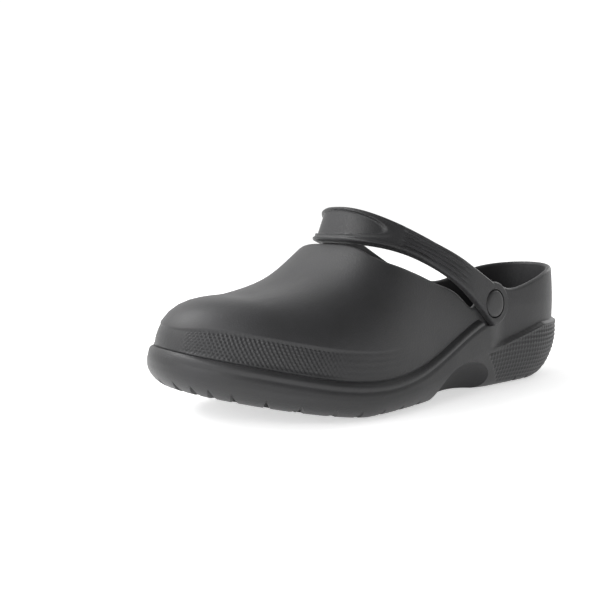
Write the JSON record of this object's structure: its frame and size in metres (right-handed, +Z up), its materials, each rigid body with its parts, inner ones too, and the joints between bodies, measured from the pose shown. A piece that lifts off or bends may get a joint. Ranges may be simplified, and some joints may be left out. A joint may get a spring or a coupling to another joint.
{
  "type": "chef clog",
  "caption": "Left chef clog: hollow moulded foam clog with closed toe and heel cup, treaded sole, loose insole and a heel strap swung forward on side rivets.",
  "frame": {"origin": "middle of the shoe's box in plan, on the floor that the sole stands on", "axes": "+X towards the toe, +Y to the outer side of the left foot, +Z up"},
  "size_m": [0.2848, 0.1095, 0.1096],
  "materials": {
    "moulded_foam": "matte moulded EVA foam, charcoal black",
    "insole_foam": "matte foam footbed with a fine grain",
    "strap_foam": "matte moulded EVA foam, charcoal black",
    "rivet_nylon": "satin moulded nylon, charcoal black"
  },
  "bodies": {
    "root": {"clog_body": "moulded_foam", "insole": "insole_foam", "heel_strap": "strap_foam", "rivet_outer": "rivet_nylon", "rivet_inner": "rivet_nylon"}
  },
  "joints": []
}
